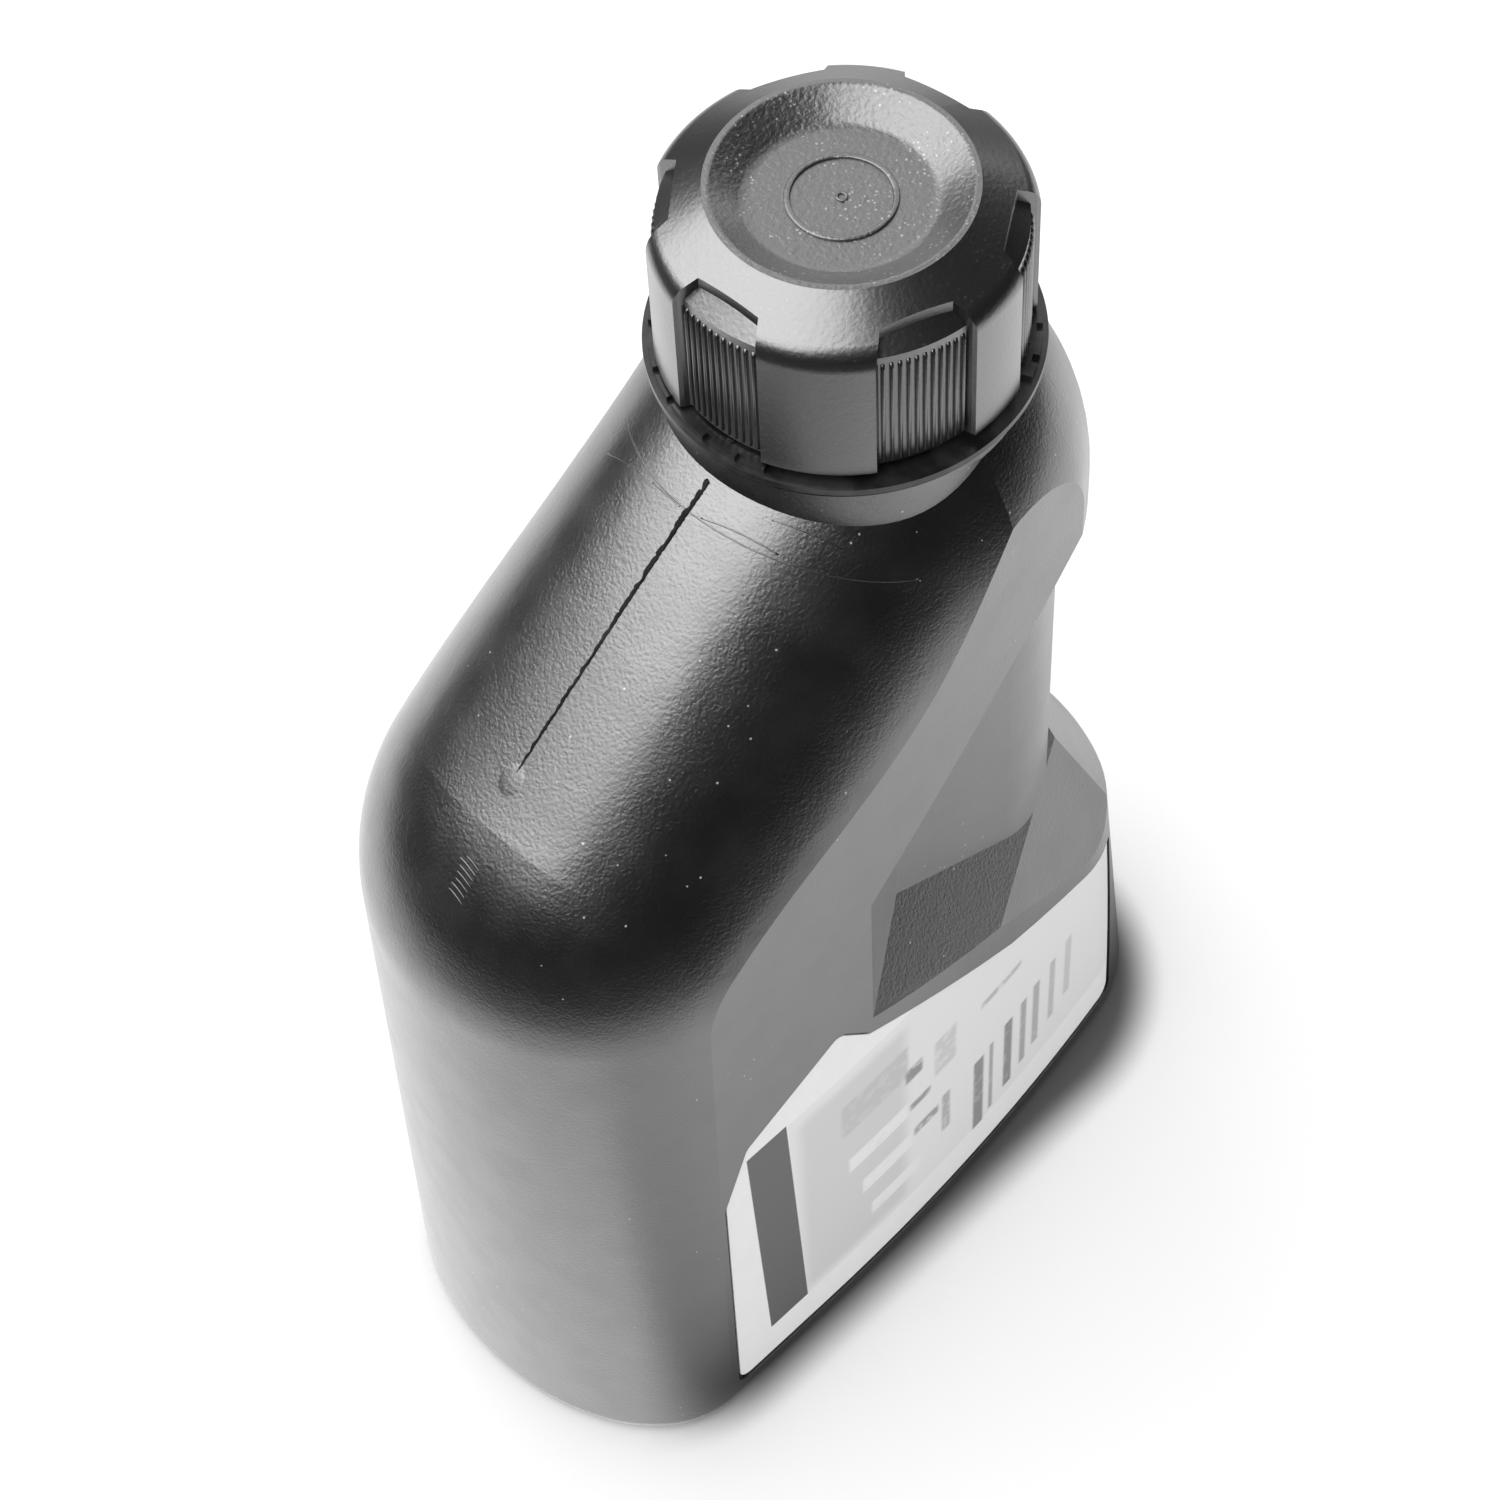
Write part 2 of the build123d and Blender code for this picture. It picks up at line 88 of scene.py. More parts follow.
class Graph:
    """Small helper round one node tree."""

    def __init__(self, owner: bpy.types.Material | bpy.types.World) -> None:
        """Turns on the owner's nodes and empties its tree.

        Args:
            owner: material or world to fill.
        """
        owner.use_nodes = True
        self.tree = owner.node_tree
        self.tree.nodes.clear()

    def node(self, kind: str, **settings: object) -> bpy.types.Node:
        """Adds a node and sets its properties.

        Args:
            kind: node type name.
            settings: property values by name.

        Returns:
            The new node.
        """
        made = self.tree.nodes.new(kind)
        for name, value in settings.items():
            setattr(made, name, value)
        return made

    def link(self, source: Socket, target: Socket) -> None:
        """Joins two sockets."""
        self.tree.links.new(source, target)

    def feed(self, target: Socket, value: Socket | float | Colour) -> None:
        """Links a socket or sets a plain value.

        Args:
            target: input socket.
            value: output socket, number or colour.
        """
        if isinstance(value, Socket):
            self.link(value, target)
        else:
            target.default_value = value

    def output(self, kind: str, shader: Socket) -> None:
        """Ends the tree with an output node of the given type."""
        self.link(shader, self.node(kind).inputs[0])

    def math(self, operation: str, a: Socket | float, b: Socket | float = 0.0) -> Socket:
        """Adds a math node.

        Args:
            operation: math operation.
            a: first value or socket.
            b: second value or socket.

        Returns:
            The result socket.
        """
        made = self.node("ShaderNodeMath", operation=operation)
        self.feed(made.inputs[0], a)
        self.feed(made.inputs[1], b)
        return made.outputs[0]

    def times(self, a: Socket | float, b: Socket | float) -> Socket:
        """Product of two values."""
        return self.math("MULTIPLY", a, b)

    def plus(self, a: Socket | float, b: Socket | float) -> Socket:
        """Sum of two values."""
        return self.math("ADD", a, b)

    def minus(self, a: Socket | float, b: Socket | float) -> Socket:
        """Difference of two values."""
        return self.math("SUBTRACT", a, b)

    def ramp(
        self, value: Socket, low: float, high: float, out_low: float = 0.0, out_high: float = 1.0
    ) -> Socket:
        """Maps a range smoothly onto another.

        Args:
            value: socket to map.
            low: start of the source range.
            high: end of the source range.
            out_low: result at the start.
            out_high: result at the end.

        Returns:
            The mapped socket.
        """
        made = self.node("ShaderNodeMapRange", interpolation_type="SMOOTHSTEP")
        self.feed(made.inputs["Value"], value)
        made.inputs["From Min"].default_value = low
        made.inputs["From Max"].default_value = high
        made.inputs["To Min"].default_value = out_low
        made.inputs["To Max"].default_value = out_high
        return made.outputs["Result"]

    def span(self, share: Socket, start: float, end: float) -> Socket:
        """Smooth value between two levels, by a share of nought to one."""
        return self.ramp(share, 0.0, 1.0, start, end)

    def fade(self, value: Socket, low: float, high: float) -> Socket:
        """Smooth fall from one to nought over a range."""
        return self.ramp(value, low, high, 1.0, 0.0)

    def window(self, value: Socket, low: float, high: float, soft: float) -> Socket:
        """Mask of a range, with soft edges inside it."""
        return self.times(self.ramp(value, low, low + soft), self.fade(value, high - soft, high))

    def blend(self, factor: Socket | float, a: Socket | Colour, b: Socket | Colour) -> Socket:
        """Mixes two colours.

        Args:
            factor: share of the second colour.
            a: first colour.
            b: second colour.

        Returns:
            The mixed colour socket.
        """
        made = self.node("ShaderNodeMix", data_type="RGBA")
        self.feed(made.inputs[0], factor)
        self.feed(made.inputs[6], a)
        self.feed(made.inputs[7], b)
        return made.outputs[2]

    def place(self) -> tuple[Socket, Socket, Socket, Socket]:
        """Object coordinates as a vector and as X, Y and Z.

        Returns:
            The vector socket and its three parts.
        """
        coords = self.node("ShaderNodeTexCoord")
        split = self.node("ShaderNodeSeparateXYZ")
        self.link(coords.outputs["Object"], split.inputs[0])
        return coords.outputs["Object"], split.outputs[0], split.outputs[1], split.outputs[2]

    def distance(self, where: Socket, point: Triple) -> Socket:
        """Distance from a fixed point.

        Args:
            where: coordinate socket.
            point: the fixed point.

        Returns:
            The distance socket.
        """
        made = self.node("ShaderNodeVectorMath", operation="DISTANCE")
        self.link(where, made.inputs[0])
        made.inputs[1].default_value = point
        return made.outputs["Value"]

    def grain(
        self, where: Socket, scale: float, detail: float = 2.0, stretch: Triple = (1.0, 1.0, 1.0)
    ) -> Socket:
        """Fine noise in object space.

        Args:
            where: coordinate socket.
            scale: noise scale.
            detail: octaves.
            stretch: scale of each axis.

        Returns:
            The noise value socket.
        """
        mapping = self.node("ShaderNodeMapping")
        mapping.inputs["Scale"].default_value = stretch
        self.link(where, mapping.inputs["Vector"])
        made = self.node("ShaderNodeTexNoise")
        self.link(mapping.outputs[0], made.inputs["Vector"])
        made.inputs["Scale"].default_value = scale
        made.inputs["Detail"].default_value = detail
        return made.outputs[0]

    def cells(self, where: Socket, scale: float, feature: str = "F1") -> Socket:
        """Distance field of random cells.

        Args:
            where: coordinate socket.
            scale: cells for each metre.
            feature: voronoi feature.

        Returns:
            The distance socket.
        """
        made = self.node("ShaderNodeTexVoronoi", feature=feature)
        self.link(where, made.inputs["Vector"])
        made.inputs["Scale"].default_value = scale
        return made.outputs["Distance"]


@dataclass(frozen=True)
class Finish:
    """Common settings of every moulded or printed finish."""

    name: str
    roughness: float
    specular: float
    coat: float = 0.0
    coat_roughness: float = 0.3
    ior: float = 1.5
    coat_ior: float = 1.5

    def material(self) -> bpy.types.Material:
        """Builds the material.

        Returns:
            The finished material.
        """
        made = bpy.data.materials.new(self.name)
        graph = Graph(made)
        shader = graph.node("ShaderNodeBsdfPrincipled")
        graph.output("ShaderNodeOutputMaterial", shader.outputs[0])
        shader.inputs["Roughness"].default_value = self.roughness
        shader.inputs["Specular IOR Level"].default_value = self.specular
        shader.inputs["Coat Weight"].default_value = self.coat
        shader.inputs["Coat Roughness"].default_value = self.coat_roughness
        shader.inputs["IOR"].default_value = self.ior
        shader.inputs["Coat IOR"].default_value = self.coat_ior
        self.paint(graph, shader)
        return made

    def paint(self, graph: Graph, shader: bpy.types.Node) -> None:
        """Adds colour, roughness and relief; each finish has its own.

        Args:
            graph: node tree helper.
            shader: the surface shader.
        """
        raise NotImplementedError

    @staticmethod
    def relief(graph: Graph, shader: bpy.types.Node, height: Socket, depth: float) -> None:
        """Feeds a height field into the shader's normal.

        Args:
            graph: node tree helper.
            shader: the surface shader.
            height: height socket.
            depth: height in metres of one unit.
        """
        bump = graph.node("ShaderNodeBump")
        bump.inputs["Strength"].default_value = 1.0
        bump.inputs["Distance"].default_value = depth
        graph.link(height, bump.inputs["Height"])
        graph.link(bump.outputs[0], shader.inputs["Normal"])


@dataclass(frozen=True)
class CoatedPlastic(Finish):
    """Base of the satin black plastics, with a clear coat for the soft highlights."""

    roughness: float = 0.34
    specular: float = 1.0
    coat: float = 1.0
    coat_roughness: float = 0.25
    ior: float = 1.65
    coat_ior: float = 1.6


@dataclass(frozen=True)
class LeatherPlastic(CoatedPlastic):
    """Black blow-moulded plastic: leather grain, smoother side faces, dust and scuffs."""

    colour: Colour = (0.0045, 0.0045, 0.0046, 1.0)
    worn: Colour = (0.05, 0.05, 0.051, 1.0)
    dust: Colour = grey(0.55)
    side_y: float = 33.7 * MM
    side_fade: float = 1.2 * MM
    side_grain: float = 0.4
    grain_scale: float = 1750.0
    grain_depth: float = 0.06 * MM
    cell_share: float = 0.7
    fine_ratio: float = 1.4
    streak_scale: float = 420.0
    streak_stretch: Triple = (1.0, 1.0, 0.06)
    streak_share: float = 0.45
    scuff: Triple = (-62.6 * MM, 3.0 * MM, 129.0 * MM)
    scuff_core: float = 2.4 * MM
    scuff_reach: float = 8.0 * MM
    scratch_scale: float = 900.0
    scratch_stretch: Triple = (0.1, 1.0, 0.35)
    scratch_band: Pair = (0.6, 0.68)
    scratch_share: float = 0.8
    scratch_rough: float = 0.2
    speck_scale: float = 300.0
    speck_size: float = 0.065
    speck_share: float = 0.7
    patch_scale: float = 38.0
    patch_band: Pair = (0.5, 0.56)
    mottle_scale: float = 60.0
    mottle_band: Pair = (0.4, 0.8)
    mottle_share: float = 0.1
    rough_scale: float = 120.0
    rough_band: Pair = (0.3, 0.8)
    rough_shift: Pair = (-0.03, 0.05)

    def paint(self, graph: Graph, shader: bpy.types.Node) -> None:
        """Adds grain, streaks, dust specks and a patch of scuffs.

        Args:
            graph: node tree helper.
            shader: the surface shader.
        """
        where, _x, y, _z = graph.place()
        on_side = graph.ramp(graph.math("ABSOLUTE", y), self.side_y - self.side_fade, self.side_y)
        leather = graph.times(graph.cells(where, self.grain_scale, "SMOOTH_F1"), self.cell_share)
        leather = graph.plus(leather, graph.grain(where, self.grain_scale * self.fine_ratio, 3.0))
        leather = graph.times(leather, graph.span(on_side, 1.0, self.side_grain))
        streaks = graph.grain(where, self.streak_scale, 4.0, self.streak_stretch)
        height = graph.plus(leather, graph.times(streaks, self.streak_share))

        near = graph.fade(graph.distance(where, self.scuff), self.scuff_core, self.scuff_reach)
        lines = graph.grain(where, self.scratch_scale, 1.0, self.scratch_stretch)
        scratch = graph.times(near, graph.ramp(lines, *self.scratch_band))
        cells = graph.cells(where, self.speck_scale)
        specks = graph.fade(cells, self.speck_size / 2, self.speck_size)
        patches = graph.ramp(graph.grain(where, self.patch_scale, 1.0), *self.patch_band)
        specks = graph.times(specks, patches)

        mottle = graph.grain(where, self.mottle_scale, 3.0)
        mottle = graph.ramp(mottle, *self.mottle_band, 0.0, self.mottle_share)
        colour = graph.blend(mottle, self.colour, self.worn)
        colour = graph.blend(graph.times(scratch, self.scratch_share), colour, self.worn)
        colour = graph.blend(graph.times(specks, self.speck_share), colour, self.dust)
        graph.link(colour, shader.inputs["Base Color"])
        smoother, rougher = (self.roughness + shift for shift in self.rough_shift)
        rough = graph.grain(where, self.rough_scale, 3.0)
        rough = graph.ramp(rough, *self.rough_band, smoother, rougher)
        rough = graph.plus(rough, graph.times(scratch, self.scratch_rough))
        graph.link(rough, shader.inputs["Roughness"])
        self.relief(graph, shader, height, self.grain_depth)


@dataclass(frozen=True)
class CapPlastic(CoatedPlastic):
    """Satin cap plastic with a sand-blasted dish, and grey specks of light dust and painted glints.
    """

    colour: Colour = (0.009, 0.009, 0.0092, 1.0)
    dust_and_glint_grey: Colour = grey(0.3)
    dish_r: float = 17.2 * MM
    dish_edge: float = 1.6 * MM
    dish_z: float = 219.0 * MM
    dish_rise: float = 0.5 * MM
    dish_rough: float = 0.12
    depth: float = 0.09 * MM
    blast_scale: float = 1500.0
    blast_range: Pair = (0.6, 2.2)
    fine_scale: float = 700.0
    fine_share: float = 0.3
    sparkle_scale: float = 1100.0
    sparkle_size: Pair = (0.14, 0.24)
    sparkle_range: Pair = (0.1, 0.8)
    patch_scale: float = 160.0
    patch_band: Pair = (0.45, 0.62)

    def paint(self, graph: Graph, shader: bpy.types.Node) -> None:
        """Adds blasted grain in the dish, and grey specks of light dust and painted glints.

        Args:
            graph: node tree helper.
            shader: the surface shader.
        """
        where, x, y, z = graph.place()
        run = graph.minus(x, NECK_X)
        radius = graph.math("SQRT", graph.plus(graph.times(run, run), graph.times(y, y)))
        inside = graph.fade(radius, self.dish_r, self.dish_r + self.dish_edge)
        in_dish = graph.times(inside, graph.ramp(z, self.dish_z - self.dish_rise, self.dish_z))
        blast = graph.grain(where, self.blast_scale)
        blast = graph.times(blast, graph.span(in_dish, *self.blast_range))
        fine = graph.times(graph.grain(where, self.fine_scale, 3.0), self.fine_share)
        # Grey specks, most in the dish: light dust and painted glints of the blasted grain.
        sparkle = graph.fade(graph.cells(where, self.sparkle_scale), *self.sparkle_size)
        sparkle = graph.times(sparkle, graph.span(in_dish, *self.sparkle_range))
        patches = graph.ramp(graph.grain(where, self.patch_scale), *self.patch_band)
        sparkle = graph.times(sparkle, patches)
        graph.link(graph.blend(sparkle, self.colour, self.dust_and_glint_grey), shader.inputs["Base Color"])
        rough = graph.span(in_dish, self.roughness, self.roughness + self.dish_rough)
        graph.link(rough, shader.inputs["Roughness"])
        self.relief(graph, shader, graph.plus(blast, fine), self.depth)


@dataclass(frozen=True)
class RingPlastic(Finish):
    """Smooth black plastic of the tamper ring and the moulding scars."""

    colour: Colour = (0.008, 0.008, 0.0082, 1.0)
    worn: Colour = grey(0.03)
    mottle_scale: float = 220.0
    mottle_band: Pair = (0.4, 0.7)
    wave_scale: float = 600.0
    wave_depth: float = 0.02 * MM

    def paint(self, graph: Graph, shader: bpy.types.Node) -> None:
        """Adds faint mottling and a soft surface.

        Args:
            graph: node tree helper.
            shader: the surface shader.
        """
        where, _x, _y, _z = graph.place()
        mottle = graph.ramp(graph.grain(where, self.mottle_scale, 3.0), *self.mottle_band)
        graph.link(graph.blend(mottle, self.colour, self.worn), shader.inputs["Base Color"])
        self.relief(graph, shader, graph.grain(where, self.wave_scale), self.wave_depth)


@dataclass(frozen=True)
class Field:
    """A printed area on the label: x and z ranges in millimetres and its grey."""

    left: float
    right: float
    low: float
    high: float
    level: float
    soft: float
    broken: float = 0.0
    lean: float = 0.0


@dataclass(frozen=True)
class Bar:
    """One of the row of bars: its middle and width in millimetres and its grey."""

    middle: float
    width: float
    level: float


@dataclass(frozen=True)
class LabelPrint(Finish):
    """White label film with a dark upright band and plain pale fields."""

    paper: Colour = grey(0.88)
    spots: Colour = grey(0.6)
    spot_scale: float = 300.0
    spot_band: Pair = (0.3, 0.7)
    spot_share: float = 0.06
    fields: tuple[Field, ...] = (
        Field(-31.6, 60.0, 14.5, 75.5, 0.8, 0.6),
        Field(-31.0, -3.0, 14.5, 74.0, 0.66, 4.0),
        Field(-38.9, -30.2, 14.4, 75.8, 0.13, 0.2, 0.0, 0.045),
        Field(-20.5, -4.0, 55.0, 66.0, 0.56, 1.2, 0.5),
        Field(-19.0, -4.0, 42.0, 47.5, 0.84, 1.0, 0.2),
        Field(-16.0, -3.0, 31.0, 36.5, 0.84, 1.0, 0.2),
        Field(-14.0, -1.0, 21.0, 26.0, 0.84, 1.0, 0.2),
        Field(-5.5, -0.5, 53.0, 58.0, 0.3, 1.0, 0.5),
        Field(-4.5, 1.5, 43.0, 46.0, 0.34, 1.0, 0.5),
        Field(-3.5, 3.5, 33.5, 37.0, 0.36, 1.0, 0.5),
        Field(3.5, 6.5, 25.0, 38.0, 0.45, 1.0, 0.4),
        Field(1.5, 8.0, 46.0, 58.0, 0.62, 1.2, 0.5),
        Field(13.5, 25.0, 52.0, 54.5, 0.5, 0.8, 0.7),
    )
    bars: tuple[Bar, ...] = (
        Bar(13.6, 3.4, 0.3),
        Bar(17.0, 1.8, 0.4),
        Bar(21.6, 3.0, 0.3),
        Bar(25.8, 2.4, 0.42),
        Bar(29.4, 2.6, 0.46),
        Bar(34.0, 2.4, 0.54),
        Bar(38.6, 2.6, 0.6),
    )
    bar_low: float = 14.0
    bar_low_rise: float = 0.4
    bar_high: float = 37.0
    bar_high_rise: float = 0.22
    bar_soft: float = 0.8
    bar_broken: float = 0.2
    broken_scale: float = 520.0
    broken_from: float = 0.36
    broken_reach: float = 0.3
    film_scale: float = 900.0
    film_depth: float = 0.008 * MM

    def bar_fields(self) -> list[Field]:
        """The bars as printed areas, each a little higher than the one before.

        Returns:
            One area for each bar.
        """
        areas = []
        for bar in self.bars:
            run = bar.middle - self.bars[0].middle
            low = self.bar_low + self.bar_low_rise * run
            high = self.bar_high + self.bar_high_rise * run
            left, right = bar.middle - bar.width / 2, bar.middle + bar.width / 2
            areas.append(Field(left, right, low, high, bar.level, self.bar_soft, self.bar_broken))
        return areas

    def cover(self, graph: Graph, area: Field, x: Socket, z: Socket, broken: Socket) -> Socket:
        """Mask of one printed area.

        Args:
            graph: node tree helper.
            area: the area.
            x: x coordinate socket.
            z: z coordinate socket.
            broken: noise that thins broken areas.

        Returns:
            The mask socket.
        """
        soft = area.soft * MM
        if area.lean:
            middle = (area.low + area.high) / 2 * MM
            x = graph.plus(x, graph.times(graph.minus(z, middle), area.lean))
        across = graph.window(x, area.left * MM, area.right * MM, soft)
        mask = graph.times(across, graph.window(z, area.low * MM, area.high * MM, soft))
        if area.broken:
            end = self.broken_from + self.broken_reach * area.broken
            thinned = graph.ramp(broken, self.broken_from, end, 1.0 - area.broken, 1.0)
            mask = graph.times(mask, thinned)
        return mask

    def paint(self, graph: Graph, shader: bpy.types.Node) -> None:
        """Adds the printed fields and bars.

        Args:
            graph: node tree helper.
            shader: the surface shader.
        """
        where, x, _y, z = graph.place()
        broken = graph.grain(where, self.broken_scale)
        spots = graph.grain(where, self.spot_scale, 3.0)
        spots = graph.ramp(spots, *self.spot_band, 0.0, self.spot_share)
        colour = graph.blend(spots, self.paper, self.spots)
        for area in [*self.fields, *self.bar_fields()]:
            mask = self.cover(graph, area, x, z, broken)
            colour = graph.blend(mask, colour, grey(area.level))
        graph.link(colour, shader.inputs["Base Color"])
        self.relief(graph, shader, graph.grain(where, self.film_scale), self.film_depth)


@dataclass(frozen=True)
class LinerFoam(Finish):
    """White foamed liner."""

    colour: Colour = (0.82, 0.82, 0.8, 1.0)
    shade: Colour = (0.66, 0.66, 0.64, 1.0)
    pore_scale: float = 1600.0
    pore_band: Pair = (0.0, 0.6)
    pore_depth: float = 0.03 * MM

    def paint(self, graph: Graph, shader: bpy.types.Node) -> None:
        """Adds a fine cell structure.

        Args:
            graph: node tree helper.
            shader: the surface shader.
        """
        where, _x, _y, _z = graph.place()
        pores = graph.cells(where, self.pore_scale)
        colour = graph.blend(graph.ramp(pores, *self.pore_band), self.shade, self.colour)
        graph.link(colour, shader.inputs["Base Color"])
        self.relief(graph, shader, pores, self.pore_depth)


@dataclass
class Skin:
    """Points and faces of one mesh."""

    points: list[Vector] = field(default_factory=list)
    faces: list[Face] = field(default_factory=list)

    def add(self, other: Skin) -> None:
        """Takes in another skin behind its own.

        Args:
            other: the skin to take in.
        """
        shift = len(self.points)
        self.points.extend(other.points)
        self.faces.extend(tuple(i + shift for i in face) for face in other.faces)

    def piece(
        self, name: str, material: bpy.types.Material, body: Body, slot: Slot, smooth: bool = True
    ) -> None:
        """Makes one mesh piece that rides on a body.

        Args:
            name: piece name.
            material: its finish.
            body: the body it moves with.
            slot: not used.
            smooth: shades the faces smoothly.
        """
        mesh = bpy.data.meshes.new(name)
        mesh.from_pydata([tuple(point) for point in self.points], [], self.faces)
        mesh.validate()
        mesh.update()
        for face in mesh.polygons:
            face.use_smooth = smooth
        piece = bpy.data.objects.new(name, mesh)
        bpy.context.scene.collection.objects.link(piece)
        mesh.materials.append(material)
        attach(piece, body.value)
        LOG.info("piece %s: %d faces on %s", name, len(self.faces), body.value)


def swept(rings: list[list[Vector]]) -> Skin:
    """Skin over a row of equal rings, closed at both ends.

    Args:
        rings: the cross-sections in order.

    Returns:
        The skin.
    """
    count = len(rings[0])
    skin = Skin([point for ring in rings for point in ring])
    for row in range(len(rings) - 1):
        for k in range(count):
            a, b = row * count + k, row * count + (k + 1) % count
            skin.faces.append((a, b, b + count, a + count))
    skin.faces.append(tuple(range(count - 1, -1, -1)))
    skin.faces.append(tuple((len(rings) - 1) * count + k for k in range(count)))
    return skin


def on_circle(centre_x: float, radius: float, angle: float) -> Pair:
    """Place on a level circle about a point of the X axis."""
    return centre_x + radius * math.cos(angle), radius * math.sin(angle)


@dataclass
class Thread:
    """Helical ridge on the neck or in the cap."""

    name: str
    body: Body
    slot: Slot
    root_r: float
    crest_r: float
    low_z: float
    turns: float
    pitch: float = 6.0 * MM
    base_width: float = 2.4 * MM
    crest_width: float = 0.8 * MM
    fade_turns: float = 0.12
    fade_least: float = 0.04
    steps: int = 64

    def build(self, material: bpy.types.Material) -> None:
        """Sweeps the ridge with tapered ends.

        Args:
            material: its finish.
        """
        total = int(self.turns * self.steps)
        fade_steps = self.steps * self.fade_turns
        foot, brow = self.base_width / 2, self.crest_width / 2
        rings = []
        for i in range(total + 1):
            angle = 2 * math.pi * i / self.steps
            centre = self.low_z + self.pitch * i / self.steps
            fade = max(min(1.0, i / fade_steps, (total - i) / fade_steps), self.fade_least)
            crest = self.root_r + (self.crest_r - self.root_r) * fade
            ring = []
            for r, z in ((self.root_r, -foot), (crest, -brow), (crest, brow), (self.root_r, foot)):
                ring.append(Vector((*on_circle(NECK_X, r, angle), centre + z)))
            rings.append(ring)
        swept(rings).piece(self.name, material, self.body, self.slot, smooth=False)


@dataclass
class CapDetail:
    """Grip ribs and the dish's plain marks on the cap."""

    panel_r: float = 24.8 * MM
    turn_deg: float = 36.8
    pair_deg: float = 26.85
    pairs: int = 3
    ribs: int = 11
    half_chord: float = 5.75 * MM
    rib_width: float = 0.62 * MM
    rib_height: float = 0.55 * MM
    rib_profile: tuple[Pair, ...] = (
        (-0.5, -0.12), (-0.36, 0.7), (0.0, 1.0), (0.36, 0.7), (0.5, -0.12)
    )
    low_z: float = 195.0 * MM
    low_slope: float = 0.5 * MM
    low_rise: float = 0.35
    high_z: float = 214.9 * MM
    high_slope: float = 0.8 * MM
    high_rise: float = 0.1
    dish_z: float = 219.75 * MM
    sunk: float = 0.15 * MM
    ring_r: float = 7.2 * MM
    ring_width: float = 1.0 * MM
    ring_height: float = 0.35 * MM
    ring_round: float = 0.08 * MM
    gate_r: float = 0.85 * MM
    gate_bore: float = 0.55
    gate_brow: float = 0.78
    gate_drop: float = 0.15 * MM
    gate_brow_drop: float = 0.05 * MM
    ring_steps: int = 96
    gate_steps: int = 32

    def rib(self, angle: float) -> Skin:
        """One rib as a rounded bar with sloped ends.

        Args:
            angle: its place round the cap, radians.

        Returns:
            The rib's skin.
        """
        out = Vector((math.cos(angle), math.sin(angle), 0))
        along = Vector((-math.sin(angle), math.cos(angle), 0))
        base = Vector((NECK_X, 0, 0)) + out * self.panel_r
        levels = (
            (self.low_z, self.low_rise),
            (self.low_z + self.low_slope, 1.0),
            (self.high_z - self.high_slope, 1.0),
            (self.high_z, self.high_rise),
        )
        rings = []
        for z, rise in levels:
            ring = []
            for u, v in self.rib_profile:
                proud = self.rib_height * v * (rise if v > 0 else 1)
                ring.append(base + along * (u * self.rib_width) + out * proud + Vector((0, 0, z)))
            rings.append(ring)
        return swept(rings)

    def all_ribs(self) -> Skin:
        """The ribs of the six grip panels, which stand in pairs.

        Returns:
            The ribs' skin.
        """
        skin = Skin()
        for pair in range(self.pairs):
            for side in (-1, 1):
                turn_deg = self.turn_deg + side * self.pair_deg + pair * 360 / self.pairs
                for k in range(self.ribs):
                    offset = self.half_chord * (2 * k / (self.ribs - 1) - 1)
                    skin.add(self.rib(math.radians(turn_deg) + math.asin(offset / self.panel_r)))
        return skin

    def turned(self, profile: list[Pair], steps: int) -> Skin:
        """Full turn of a closed profile about the cap's axis.

        Args:
            profile: radius and z of each corner.
            steps: divisions of the turn.

        Returns:
            The skin.
        """
        count = len(profile)
        skin = Skin()
        for i in range(steps):
            angle = 2 * math.pi * i / steps
            skin.points.extend(Vector((*on_circle(NECK_X, r, angle), z)) for r, z in profile)
            here, ahead = i * count, (i + 1) % steps * count
            for k in range(count):
                after = (k + 1) % count
                skin.faces.append((here + k, ahead + k, ahead + after, here + after))
        return skin

    def build(self, material: bpy.types.Material) -> None:
        """Makes the ribs, the dish's plain ring and the gate mark.

        Args:
            material: the cap's finish.
        """
        base, top = self.dish_z - self.sunk, self.dish_z + self.ring_height
        inner, outer = -self.ring_width / 2, self.ring_width / 2
        ring = [
            (self.ring_r + inner, base),
            (self.ring_r + outer, base),
            (self.ring_r + outer * 0.8, top - self.ring_round),
            (self.ring_r + outer * 0.5, top),
            (self.ring_r + inner * 0.5, top),
            (self.ring_r + inner * 0.8, top - self.ring_round),
        ]
        gate = [
            (self.gate_r * self.gate_bore, base),
            (self.gate_r, base),
            (self.gate_r, top - self.gate_drop),
            (self.gate_r * self.gate_brow, top - self.gate_brow_drop),
            (self.gate_r * self.gate_bore, top - self.gate_drop),
        ]
        for name, skin in (
            ("cap_grip_ribs", self.all_ribs()),
            ("cap_dish_ring", self.turned(ring, self.ring_steps)),
            ("cap_gate_mark", self.turned(gate, self.gate_steps)),
        ):
            skin.piece(name, material, Body.CLOSURE, Slot.CAP)


class Surface:
    """Outer surface of the bottle, read by straight rays from above."""

    above: float = 0.3

    def __init__(self, node: bpy.types.Object) -> None:
        """Builds the search tree.

        Args:
            node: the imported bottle.
        """
        mesh = node.data
        corners = [node.matrix_world @ vertex.co for vertex in mesh.vertices]
        self.tree = BVHTree.FromPolygons(corners, [tuple(p.vertices) for p in mesh.polygons])

    def top(self, x: float, y: float) -> tuple[Vector, Vector]:
        """Highest point of the surface over a place.

        Args:
            x: place along the length.
            y: place across.

        Returns:
            The point and the surface's normal there.
        """
        hit, normal, _index, _distance = self.tree.ray_cast(
            Vector((x, y, self.above)), Vector((0, 0, -1))
        )
        return hit, normal if normal.z > 0 else -normal


